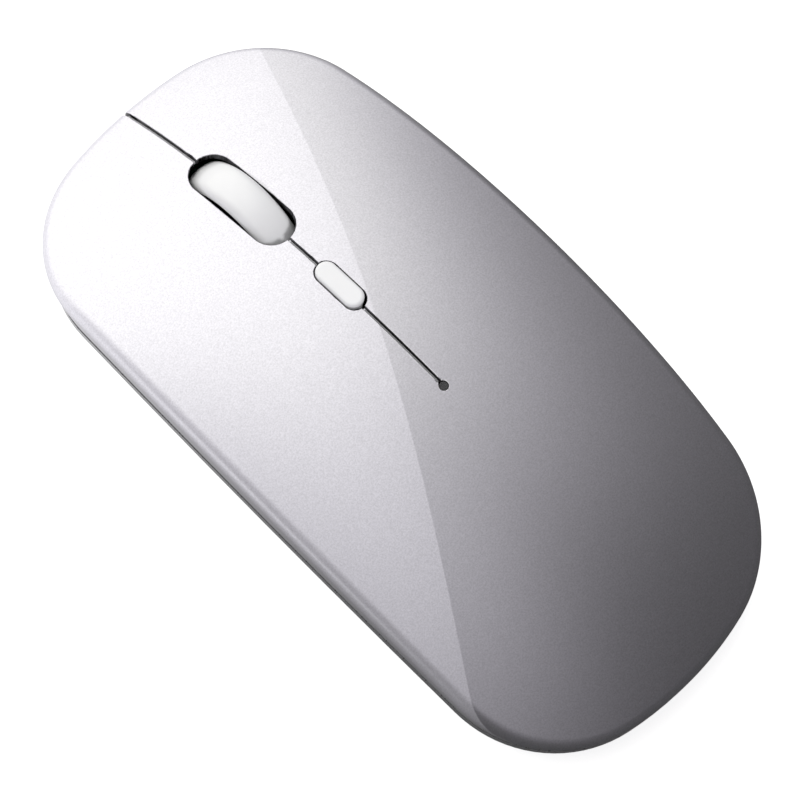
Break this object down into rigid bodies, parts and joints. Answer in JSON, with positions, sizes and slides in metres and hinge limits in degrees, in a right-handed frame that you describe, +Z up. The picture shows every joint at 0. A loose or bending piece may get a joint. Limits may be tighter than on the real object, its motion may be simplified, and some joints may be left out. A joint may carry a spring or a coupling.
{
  "type": "computer mouse",
  "caption": "Slim wireless computer mouse: pill-shaped satin metallic cover with sprung left and right keys, glossy scroll wheel, resolution button, underside receiver bay and charging port.",
  "frame": {"origin": "middle of the footprint on the surface that the skates glide on", "axes": "+Z up, +Y towards the nose (scroll wheel end), +X to the user's right"},
  "size_m": [0.0566, 0.1128, 0.0252],
  "materials": {
    "satin_silver": "satin metallic paint with fine sparkle",
    "base_silver": "satin metallic paint",
    "pearl_white": "glossy pearl white",
    "dark_moulding": "fine spark texture",
    "switch_black": "moulded, matte",
    "switch_white": "polished",
    "board_green": "solder mask over woven laminate",
    "chip_epoxy": "matte moulding compound",
    "spring_steel": "drawn wire",
    "bright_steel": "plated, lightly brushed",
    "clear_lens": "polished clear",
    "light_grey_lens": "smoked diffuser",
    "skate_dark": "low-friction film",
    "cell_foil": "laminated foil",
    "foam_black": "closed-cell foam tape",
    "nickel_strip": "nickel strip",
    "label_grey": "blank printed film"
  },
  "bodies": {
    "case": {"palm_cover": "satin_silver", "base_shell": "base_silver", "front_skate": "skate_dark", "rear_skate": "skate_dark", "rating_label": "label_grey", "main_board": "board_green", "usb_port_shell": "bright_steel", "usb_port_tongue": "switch_black", "optical_sensor": "chip_epoxy", "sensor_lens": "clear_lens", "encoder_emitter": "light_grey_lens", "encoder_detector": "chip_epoxy", "radio_controller": "chip_epoxy", "charge_controller": "chip_epoxy", "crystal": "bright_steel", "status_led": "switch_white", "light_pipe": "light_grey_lens", "power_switch_body": "bright_steel", "dpi_guide": "dark_moulding", "cradle_spring": "spring_steel", "battery_pouch": "cell_foil", "battery_tape": "foam_black", "battery_board": "board_green", "battery_tabs": "nickel_strip", "case_screws": "bright_steel", "board_screws": "bright_steel", "left_switch_body": "switch_black", "right_switch_body": "switch_black", "middle_switch_body": "switch_black", "dpi_switch_body": "switch_black"},
    "left_key": {"left_key": "satin_silver"},
    "right_key": {"right_key": "satin_silver"},
    "left_plunger": {"left_switch_plunger": "switch_white"},
    "right_plunger": {"right_switch_plunger": "switch_white"},
    "wheel_carrier": {"wheel_cradle": "dark_moulding", "detent_spring": "spring_steel"},
    "wheel": {"wheel_tyre": "pearl_white", "wheel_hub": "dark_moulding", "wheel_axle": "bright_steel"},
    "middle_plunger": {"middle_switch_plunger": "switch_white"},
    "dpi_button": {"dpi_button": "pearl_white"},
    "dpi_plunger": {"dpi_switch_plunger": "switch_white"},
    "power_knob": {"power_switch_knob": "switch_black"},
    "receiver": {"receiver_cap": "dark_moulding", "receiver_plug": "bright_steel", "receiver_tongue": "switch_black"}
  },
  "joints": [
    {"name": "left_key_press", "type": "hinge", "parent": "case", "child": "left_key", "pos_m": [-0.015, -0.0049, 0.0052], "axis": [-1, 0, 0], "range_deg": [0, 0.65], "stiffness_Nm_per_rad": 2.2, "springref_deg": -0.23},
    {"name": "right_key_press", "type": "hinge", "parent": "case", "child": "right_key", "pos_m": [0.015, -0.0049, 0.0052], "axis": [-1, 0, 0], "range_deg": [0, 0.65], "stiffness_Nm_per_rad": 2.2, "springref_deg": -0.23},
    {"name": "left_plunger_travel", "type": "slide", "parent": "case", "child": "left_plunger", "axis": [0, 0, -1], "range_m": [0, 0.00055]},
    {"name": "right_plunger_travel", "type": "slide", "parent": "case", "child": "right_plunger", "axis": [0, 0, -1], "range_m": [0, 0.00055]},
    {"name": "wheel_press", "type": "hinge", "parent": "case", "child": "wheel_carrier", "pos_m": [0, 0.0187, 0.009], "axis": [-1, 0, 0], "range_deg": [0, 2], "stiffness_Nm_per_rad": 0.3, "springref_deg": -1.15, "deforming": ["cradle_spring"]},
    {"name": "wheel_spin", "type": "hinge", "parent": "wheel_carrier", "child": "wheel", "pos_m": [0, 0.0314, 0.0136], "axis": [1, 0, 0], "continuous": true},
    {"name": "middle_plunger_travel", "type": "slide", "parent": "case", "child": "middle_plunger", "axis": [0, 0, -1], "range_m": [0, 0.00055]},
    {"name": "dpi_press", "type": "slide", "parent": "case", "child": "dpi_button", "axis": [0, 0, -1], "range_m": [0, 0.0004], "stiffness_N_per_m": 2500, "springref_m": -0.0001},
    {"name": "dpi_plunger_travel", "type": "slide", "parent": "case", "child": "dpi_plunger", "axis": [0, 0, -1], "range_m": [0, 0.0005]},
    {"name": "power_switch_slide", "type": "slide", "parent": "case", "child": "power_knob", "axis": [1, 0, 0], "range_m": [0, 0.002]},
    {"name": "receiver_slide", "type": "slide", "parent": "case", "child": "receiver", "axis": [0, -1, 0], "range_m": [0, 0.012]}
  ],
  "couplings": [
    {"joint": "left_plunger_travel", "follows": "left_key_press", "m_per_rad": 0.0443},
    {"joint": "right_plunger_travel", "follows": "right_key_press", "m_per_rad": 0.0443},
    {"joint": "middle_plunger_travel", "follows": "wheel_press", "m_per_rad": 0.0138},
    {"joint": "dpi_plunger_travel", "follows": "dpi_press", "ratio": 1}
  ]
}
